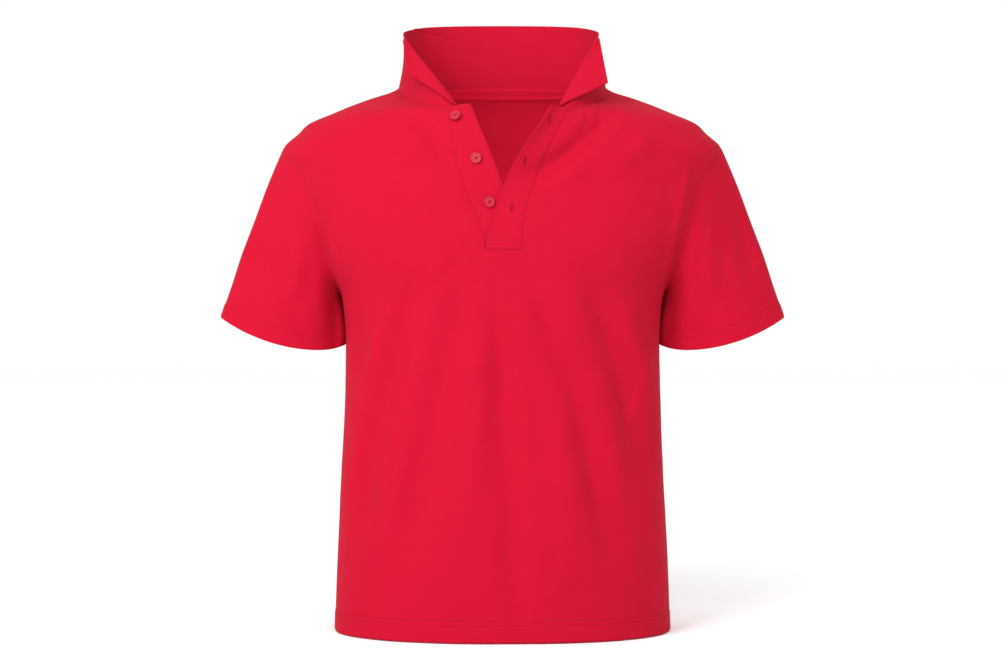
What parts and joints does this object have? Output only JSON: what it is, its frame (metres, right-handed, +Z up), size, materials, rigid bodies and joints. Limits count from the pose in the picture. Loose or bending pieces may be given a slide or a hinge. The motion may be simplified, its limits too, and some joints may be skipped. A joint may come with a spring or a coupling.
{
  "type": "polo shirt",
  "caption": "Short-sleeved knitted polo shirt, filled out as when worn, with its collar standing up and its placket unbuttoned.",
  "frame": {"origin": "middle of the neck opening, level with the neck ends of the shoulder seams, where the wearer's neck and shoulders carry the shirt", "axes": "+Z up, +X to the right as the shirt's front is looked at, -Y out of the shirt's front"},
  "size_m": [0.676, 0.2501, 0.7337],
  "materials": {
    "red_pique": "matte knitted pique",
    "red_rib": "matte flat knit",
    "red_button": "satin"
  },
  "bodies": {
    "root": {"front_panel": "red_pique", "back_panel": "red_pique", "sleeve_left": "red_pique", "sleeve_right": "red_pique", "collar": "red_rib", "neck_tape": "red_pique", "placket_over": "red_pique", "placket_under": "red_pique", "button_1": "red_button", "button_2": "red_button", "button_3": "red_button"}
  },
  "joints": []
}
